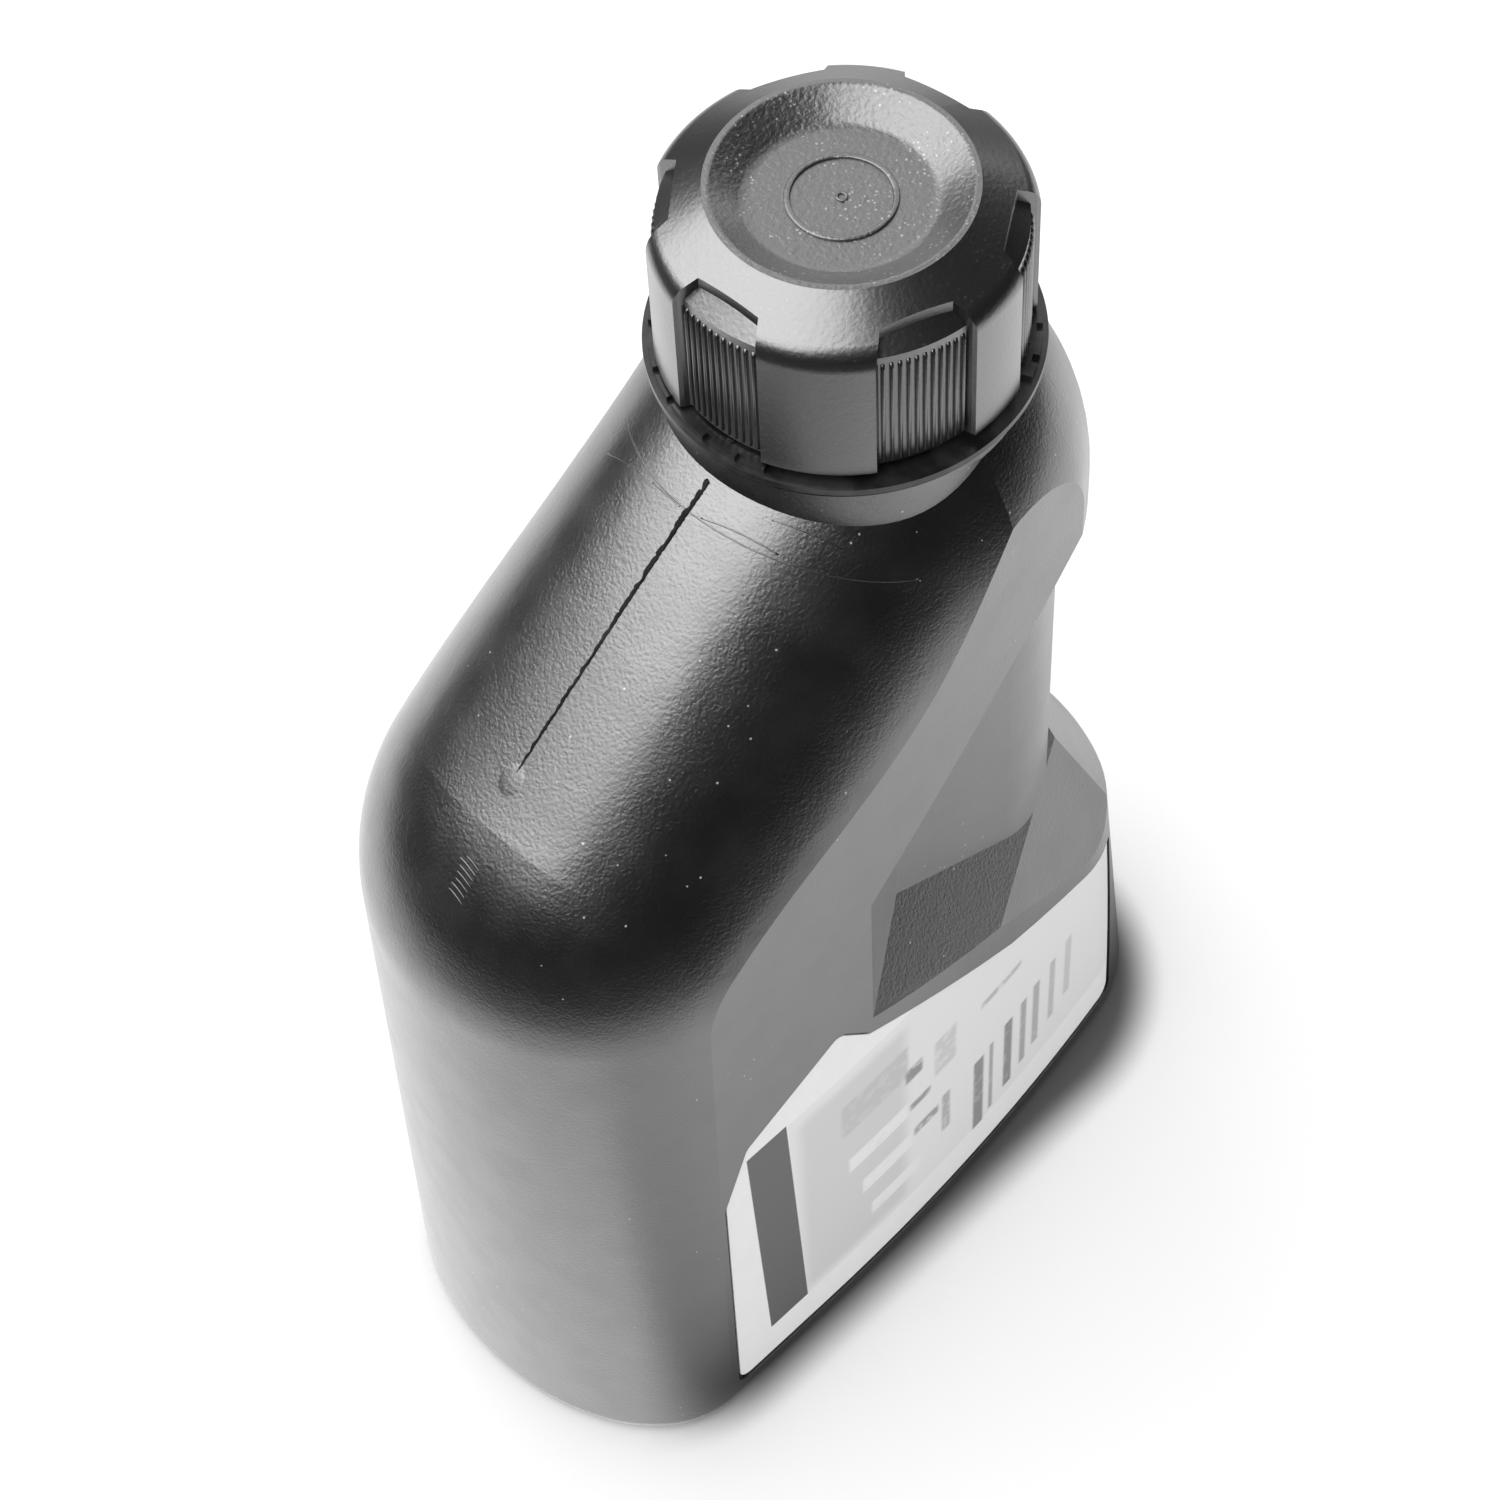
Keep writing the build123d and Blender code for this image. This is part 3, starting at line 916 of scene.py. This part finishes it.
@dataclass
class MouldLines:
    """Parting line, its end dimple, the witness lines of the neck insert and rubbed strokes."""

    ridge_profile: tuple[Pair, ...] = (
        (-0.5, -0.5), (-0.42, 0.55), (-0.12, 1.0), (0.16, 0.9), (0.4, 0.5), (0.5, -0.5)
    )
    start_x: float = -8.6 * MM
    end_x: float = -47.6 * MM
    line_width: float = 0.85 * MM
    line_height: float = 0.28 * MM
    line_steps: int = 150
    line_waver: float = 0.22 * MM
    line_taper: float = 0.45
    rough_rate: float = 46.0
    rough_width: float = 0.55
    fine_rate: float = 140.0
    fine_width: float = 0.5
    fine_height: float = 0.4
    end_from: float = 0.96
    end_height: float = 0.35
    dimple_r: float = 2.2 * MM
    dimple_gap: float = 0.9 * MM
    dimple_steps: int = 40
    dimple_profile: tuple[Pair, ...] = (
        (0.02, 0.07), (0.2, 0.068), (0.4, 0.06), (0.6, 0.045), (0.8, 0.02), (1.0, -0.03)
    )
    insert_r: float = 30.6 * MM
    insert_from_deg: float = 143.0
    insert_to_deg: float = 243.0
    insert_steps: int = 96
    witness_width: float = 0.26 * MM
    witness_height: float = 0.07 * MM
    witness_fade: float = 6.0
    witness_least: float = 0.1
    straight_steps: int = 20
    straights: tuple[tuple[Pair, Pair], ...] = (
        ((-10.6 * MM, 18.6 * MM), (-12.0 * MM, 9.6 * MM)),
        ((-12.3 * MM, 7.4 * MM), (-12.9 * MM, 1.4 * MM)),
        ((-12.4 * MM, -2.2 * MM), (-8.9 * MM, -13.6 * MM)),
        ((-6.9 * MM, -10.4 * MM), (-2.4 * MM, -19.4 * MM)),
    )
    scuff_at: Pair = (-62.2 * MM, -1.8 * MM)
    strokes: int = 7
    stroke_steps: int = 12
    stroke_step: float = 0.62 * MM
    stroke_length: float = 3.1 * MM
    stroke_width: float = 0.24 * MM
    stroke_height: float = 0.1 * MM
    stroke_lean: float = 0.12
    stroke_bow: float = 0.1 * MM
    stroke_shift: float = 0.5 * MM
    wobble_rate: float = 3.7
    wobble_length: float = 0.35
    wobble_width: float = 0.3
    stroke_least: float = 0.15
    stroke_fade: float = 0.25

    def ridge(
        self, surface: Surface, path: list[Pair], widths: list[float], heights: list[float]
    ) -> Skin:
        """Low ridge that follows the surface.

        Args:
            surface: the bottle's surface.
            path: places of the ridge's middle.
            widths: width at each place.
            heights: height at each place.

        Returns:
            The ridge's skin.
        """
        rings = []
        for i, (x, y) in enumerate(path):
            ahead, behind = path[min(i + 1, len(path) - 1)], path[max(i - 1, 0)]
            point, normal = surface.top(x, y)
            run = Vector((ahead[0] - behind[0], ahead[1] - behind[1], 0))
            across = normal.cross(run).normalized()
            ring = []
            for u, v in self.ridge_profile:
                ring.append(point + across * (u * widths[i]) + normal * (v * heights[i]))
            rings.append(ring)
        return swept(rings)

    def parting_line(self, surface: Surface) -> Skin:
        """Ragged ridge along the middle of the slope.

        Args:
            surface: the bottle's surface.

        Returns:
            The ridge's skin.
        """
        path, widths, heights = [], [], []
        for i in range(self.line_steps + 1):
            share = i / self.line_steps
            rough = noise.noise(Vector((share * self.rough_rate, 0.3, 0.0)))
            fine = noise.noise(Vector((share * self.fine_rate, 4.0, 0.0)))
            taper = 1.0 - self.line_taper * share
            swell = 1.0 + self.rough_width * rough + self.fine_width * fine
            rise = 1.0 + self.fine_height * fine
            if share > self.end_from:
                rise *= self.end_height
            x = self.start_x + (self.end_x - self.start_x) * share
            path.append((x, self.line_waver * rough))
            widths.append(self.line_width * taper * swell)
            heights.append(self.line_height * taper * rise)
        return self.ridge(surface, path, widths, heights)

    def dimple(self, surface: Surface) -> Skin:
        """Small raised button at the line's end.

        Args:
            surface: the bottle's surface.

        Returns:
            The button's skin.
        """
        count = len(self.dimple_profile)
        skin = Skin()
        for i in range(self.dimple_steps):
            angle = 2 * math.pi * i / self.dimple_steps
            for radius, height in self.dimple_profile:
                x, y = on_circle(self.end_x - self.dimple_gap, radius * self.dimple_r, angle)
                point, normal = surface.top(x, y)
                skin.points.append(point + normal * height * MM)
            here, ahead = i * count, (i + 1) % self.dimple_steps * count
            for k in range(count - 1):
                skin.faces.append((here + k, ahead + k, ahead + k + 1, here + k + 1))
        skin.faces.append(tuple(i * count for i in range(self.dimple_steps - 1, -1, -1)))
        return skin

    def witness(self, surface: Surface) -> Skin:
        """Fine lines left by the mould's neck insert.

        Args:
            surface: the bottle's surface.

        Returns:
            The lines' skin.
        """
        arc = []
        sweep_deg = self.insert_to_deg - self.insert_from_deg
        for i in range(self.insert_steps + 1):
            angle = math.radians(self.insert_from_deg + sweep_deg * i / self.insert_steps)
            arc.append(on_circle(NECK_X, self.insert_r, angle))
        paths = [arc]
        for (ax, ay), (bx, by) in self.straights:
            shares = [k / self.straight_steps for k in range(self.straight_steps + 1)]
            paths.append([(ax + (bx - ax) * share, ay + (by - ay) * share) for share in shares])
        skin = Skin()
        for path in paths:
            count = len(path)
            heights = []
            for k in range(count):
                from_end = min(k, count - 1 - k)
                rise = min(1.0, self.witness_fade * from_end / count + self.witness_least)
                heights.append(self.witness_height * rise)
            skin.add(self.ridge(surface, path, [self.witness_width] * count, heights))
        return skin

    def scuffs(self, surface: Surface) -> Skin:
        """Row of short rubbed strokes low on the slope.

        Args:
            surface: the bottle's surface.

        Returns:
            The strokes' skin.
        """
        skin = Skin()
        steps = self.stroke_steps
        for k in range(self.strokes):
            wobble = noise.noise(Vector((k * self.wobble_rate, 1.0, 0.0)))
            middle_x = self.scuff_at[0] + self.stroke_step * k
            middle_y = self.scuff_at[1] + self.stroke_shift * wobble
            half = self.stroke_length / 2 * (1.0 + self.wobble_length * wobble)
            path, heights = [], []
            for i in range(steps + 1):
                share = 2 * i / steps - 1.0
                lean = self.stroke_lean * half * share - self.stroke_bow * share**2
                path.append((middle_x + lean, middle_y + half * share))
                rise = self.stroke_least + self.stroke_fade * min(i, steps - i)
                heights.append(self.stroke_height * min(1.0, rise))
            widths = [self.stroke_width * (1.0 + self.wobble_width * wobble)] * (steps + 1)
            skin.add(self.ridge(surface, path, widths, heights))
        return skin

    def build(self, surface: Surface, scar: bpy.types.Material, plain: bpy.types.Material) -> None:
        """Makes all the lines.

        Args:
            surface: the bottle's surface.
            scar: finish of the parting line.
            plain: finish of the bottle.
        """
        for name, skin, material in (
            ("parting_line", self.parting_line(surface), scar),
            ("parting_dimple", self.dimple(surface), plain),
            ("insert_witness_lines", self.witness(surface), plain),
            ("scuff_strokes", self.scuffs(surface), plain),
        ):
            skin.piece(name, material, Body.PACK, Slot.BOTTLE)


def aim(at: Vector, to: Vector, roll_deg: float) -> Matrix:
    """Pose that looks from one point to another.

    Args:
        at: place of the eye.
        to: point looked at.
        roll_deg: turn about the line of sight, degrees.

    Returns:
        World matrix.
    """
    roll = math.radians(roll_deg)
    forward = (to - at).normalized()
    right = forward.cross(Vector((0, 0, 1))).normalized()
    up = right.cross(forward)
    turned = right * math.cos(roll) + up * math.sin(roll)
    risen = turned.cross(forward)
    rows = Matrix((turned, risen, -forward)).transposed().to_4x4()
    return Matrix.Translation(at) @ rows


def flat_sheet(name: str, wide: float, high: float) -> bpy.types.Object:
    """Adds a level rectangle about the origin.

    Args:
        name: name of the sheet.
        wide: half its size along X.
        high: half its size along Y.

    Returns:
        The new object.
    """
    corners = [(-wide, -high, 0), (wide, -high, 0), (wide, high, 0), (-wide, high, 0)]
    mesh = bpy.data.meshes.new(name)
    mesh.from_pydata(corners, [], [(0, 1, 2, 3)])
    sheet = bpy.data.objects.new(name, mesh)
    bpy.context.scene.collection.objects.link(sheet)
    return sheet


@dataclass(frozen=True)
class SoftBox:
    """A soft box: a lamp for matt surfaces and a card that only glossy surfaces see."""

    name: str
    at: Triple
    to: Triple
    roll_deg: float
    wide: float
    high: float
    radiance: float
    shine: float
    edge: float = 0.18

    def pose(self) -> Matrix:
        """World matrix of its face."""
        return aim(Vector(self.at), Vector(self.to), self.roll_deg)

    def lamp(self) -> None:
        """Adds its lamp."""
        name = f"{self.name}_box"
        data = bpy.data.lights.new(name, "AREA")
        data.shape = "RECTANGLE"
        data.size, data.size_y = self.wide, self.high
        data.energy = self.radiance * math.pi * self.wide * self.high
        lamp = bpy.data.objects.new(name, data)
        lamp.matrix_world = self.pose()
        lamp.visible_camera = False
        lamp.visible_glossy = False
        bpy.context.scene.collection.objects.link(lamp)

    def card(self) -> None:
        """Adds its face as glossy surfaces see it, with soft edges."""
        name = f"{self.name}_card"
        wide, high = self.wide / 2, self.high / 2
        card = flat_sheet(name, wide, high)
        card.matrix_world = self.pose()
        made = bpy.data.materials.new(name)
        graph = Graph(made)
        _where, x, y, _z = graph.place()
        across = graph.fade(graph.math("ABSOLUTE", x), wide * (1 - self.edge), wide)
        along = graph.fade(graph.math("ABSOLUTE", y), high * (1 - self.edge), high)
        glow = graph.node("ShaderNodeEmission")
        bright = graph.times(graph.times(across, along), self.shine)
        graph.link(bright, glow.inputs["Strength"])
        graph.output("ShaderNodeOutputMaterial", glow.outputs[0])
        card.data.materials.append(made)
        card.visible_camera = False
        card.visible_diffuse = False
        card.visible_shadow = False


@dataclass(frozen=True)
class Studio:
    """Camera, soft boxes, world and floor."""

    camera_at: Triple = (-228.32, -251.20, 612.92)
    camera_to: Triple = (-2.33, 2.01, 110.0)
    camera_roll_deg: float = -3.55
    camera_clip: Pair = (0.01, 20.0)
    focal_px: float = 4000.0
    image_px: float = 1500.0
    sensor_mm: float = 36.0
    boxes: tuple[SoftBox, ...] = (
        SoftBox(
            "key", at=(-0.471, 0.430, 1.404), to=(0.238, -0.124, 0.332), roll_deg=18.0,
            wide=2.73, high=1.61, radiance=1.1, shine=4.4,
        ),
        SoftBox(
            "fill", at=(0.93, 0.65, 0.93), to=(0.0, 0.0, 0.11), roll_deg=0.0,
            wide=1.8, high=1.3, radiance=0.3, shine=1.45,
        ),
    )
    ambient: float = 0.85
    glossy_dark: float = 0.015
    floor_size: float = 6.0
    floor_white: float = 0.86
    glow_at: Triple = (0.45, 0.2, 0.0)
    glow_band: Pair = (0.58, 0.83)
    glow_range: Pair = (1.2, 0.07)
    glow_rear: float = 0.35
    rear_x: Pair = (0.0, 0.12)
    rear_y: Pair = (-0.02, 0.06)
    foot: Pair = (0.039, 0.005)
    foot_r: float = 0.027
    foot_dark: float = 0.12
    lee_slope: float = 0.6
    lee_fade: float = 0.012
    shade_reach: float = 0.028
    shade_dim: float = 0.5
    wide_share: float = 5.0
    painted_contact_reach: float = 0.0095

    def camera(self) -> None:
        """Adds the camera at the photograph's viewing angle."""
        data = bpy.data.cameras.new("camera")
        data.sensor_width = self.sensor_mm
        data.sensor_fit = "AUTO"
        data.lens = self.focal_px / self.image_px * self.sensor_mm
        data.clip_start, data.clip_end = self.camera_clip
        data.dof.use_dof = False
        seen = bpy.data.objects.new("camera", data)
        at, to = Vector(self.camera_at) * MM, Vector(self.camera_to) * MM
        seen.matrix_world = aim(at, to, self.camera_roll_deg)
        bpy.context.scene.collection.objects.link(seen)
        bpy.context.scene.camera = seen

    def world(self) -> None:
        """White for the camera, even light for the object, dark upper room in reflections."""
        made = bpy.data.worlds.new("studio")
        graph = Graph(made)
        bpy.context.scene.world = made
        path = graph.node("ShaderNodeLightPath")
        background = graph.node("ShaderNodeBackground")
        lit = graph.blend(path.outputs["Is Glossy Ray"], grey(self.ambient), grey(self.glossy_dark))
        lit = graph.blend(path.outputs["Is Camera Ray"], lit, WHITE)
        graph.link(lit, background.inputs["Color"])
        graph.output("ShaderNodeOutputWorld", background.outputs[0])

    def painted_shade_share(self, graph: Graph, x: Socket, y: Socket, reach: float, dim: float) -> Socket:
        """Painted shade of the bottle: share of brightness that the floor keeps near its foot, on
        the lee side.

        Args:
            graph: node tree helper.
            x: x coordinate socket.
            y: y coordinate socket.
            reach: width of the dark border along the foot.
            dim: share kept next to that border, before the wider shade ends.

        Returns:
            The share, one where the floor lies open.
        """
        squares = []
        for axis, half in zip((x, y), self.foot):
            beyond = graph.math("MAXIMUM", graph.minus(graph.math("ABSOLUTE", axis), half), 0.0)
            squares.append(graph.times(beyond, beyond))
        from_core = graph.math("SQRT", graph.plus(squares[0], squares[1]))
        gap = graph.math("MAXIMUM", graph.minus(from_core, self.foot_r), 0.0)
        lee = graph.minus(graph.times(x, self.lee_slope), y)
        lee = graph.ramp(lee, -self.lee_fade, self.lee_fade)
        near = graph.ramp(gap, 0.0, reach, self.foot_dark, 1.0)
        wide = graph.ramp(gap, 0.0, reach * self.wide_share, dim, 1.0)
        lost = graph.minus(1.0, graph.times(near, wide))
        return graph.minus(1.0, graph.times(lee, lost))

    def painted_reflection_glow(self, graph: Graph) -> Socket:
        """Painted reflection: brightness of the floor's glow for glossy rays, which fades far from
        the bottle.

        Args:
            graph: node tree helper.

        Returns:
            The brightness socket.
        """
        where, x, y, _z = graph.place()
        away = graph.distance(where, self.glow_at)
        bright = graph.ramp(away, *self.glow_band, *self.glow_range)
        # Painted shade in the reflection: dimmer towards the rear, and near the foot on the lee
        # side.
        rear = graph.times(graph.ramp(x, *self.rear_x), graph.ramp(y, *self.rear_y))
        bright = graph.times(bright, graph.minus(1.0, graph.times(rear, self.glow_rear)))
        return graph.times(bright, self.painted_shade_share(graph, x, y, self.shade_reach, self.shade_dim))

    def floor(self) -> None:
        """Pale floor with a painted contact shadow for the camera and its own glow, a painted
        reflection, for glossy rays.
        """
        ground = flat_sheet("floor", self.floor_size / 2, self.floor_size / 2)
        made = bpy.data.materials.new("pale_floor")
        graph = Graph(made)
        path = graph.node("ShaderNodeLightPath")
        _where, x, y, _z = graph.place()
        # Painted contact shadow: the floor's colour for the camera darkens near the bottle's foot
        # on its lee side.
        seen = graph.blend(self.painted_shade_share(graph, x, y, self.painted_contact_reach, 1.0), BLACK, WHITE)
        white = graph.blend(path.outputs["Is Camera Ray"], grey(self.floor_white), seen)
        diffuse = graph.node("ShaderNodeBsdfDiffuse")
        graph.link(white, diffuse.inputs["Color"])
        # The floor glows for glossy rays only: a painted reflection.
        glow = graph.node("ShaderNodeEmission")
        graph.link(self.painted_reflection_glow(graph), glow.inputs["Strength"])
        mixed = graph.node("ShaderNodeMixShader")
        graph.link(path.outputs["Is Glossy Ray"], mixed.inputs[0])
        graph.link(diffuse.outputs[0], mixed.inputs[1])
        graph.link(glow.outputs[0], mixed.inputs[2])
        graph.output("ShaderNodeOutputMaterial", mixed.outputs[0])
        ground.data.materials.append(made)

    def build(self) -> None:
        """Sets up the whole studio."""
        bpy.context.scene.view_settings.view_transform = "Standard"
        self.camera()
        self.world()
        self.floor()
        for box in self.boxes:
            box.lamp()
        for box in self.boxes:
            box.card()
        LOG.info("studio ready")


def dress(node: bpy.types.Object, material: bpy.types.Material) -> None:
    """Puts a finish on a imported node.

    Args:
        node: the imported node.
        material: its finish.
    """
    for place in node.material_slots:
        place.material = material
    LOG.info("dressed %s with %s", node.name, material.name)


def main() -> None:
    """Builds the looks in order."""
    logging.basicConfig(level=logging.INFO, format="%(name)s: %(message)s")
    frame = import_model()
    nodes = frame["nodes"]

    bottle = LeatherPlastic("leather_black_plastic").material()
    cap = CapPlastic("satin_cap_plastic").material()
    ring = RingPlastic("smooth_black_plastic", roughness=0.3, specular=0.6).material()
    label = LabelPrint("printed_white_film", roughness=0.45, specular=0.4).material()
    scar = RingPlastic("matt_black_scar", roughness=0.75, specular=0.15).material()
    foam = LinerFoam("white_liner_foam", roughness=0.8, specular=0.3).material()

    dress(nodes["bottle"], bottle)
    dress(nodes["cap"], cap)
    dress(nodes["tamper_ring"], ring)
    dress(nodes["label_left"], label)
    dress(nodes["label_right"], label)
    dress(nodes["wad"], foam)

    CapDetail().build(cap)
    Thread(
        "neck_thread", Body.PACK, Slot.BOTTLE,
        root_r=19.9 * MM, crest_r=21.5 * MM, low_z=200.4 * MM, turns=2.0,
    ).build(bottle)
    Thread(
        "cap_thread", Body.CLOSURE, Slot.CAP,
        root_r=22.4 * MM, crest_r=20.6 * MM, low_z=203.4 * MM, turns=1.6,
    ).build(cap)
    MouldLines().build(Surface(nodes["bottle"]), scar, bottle)
    Studio().build()


if __name__ == "__main__":
    main()
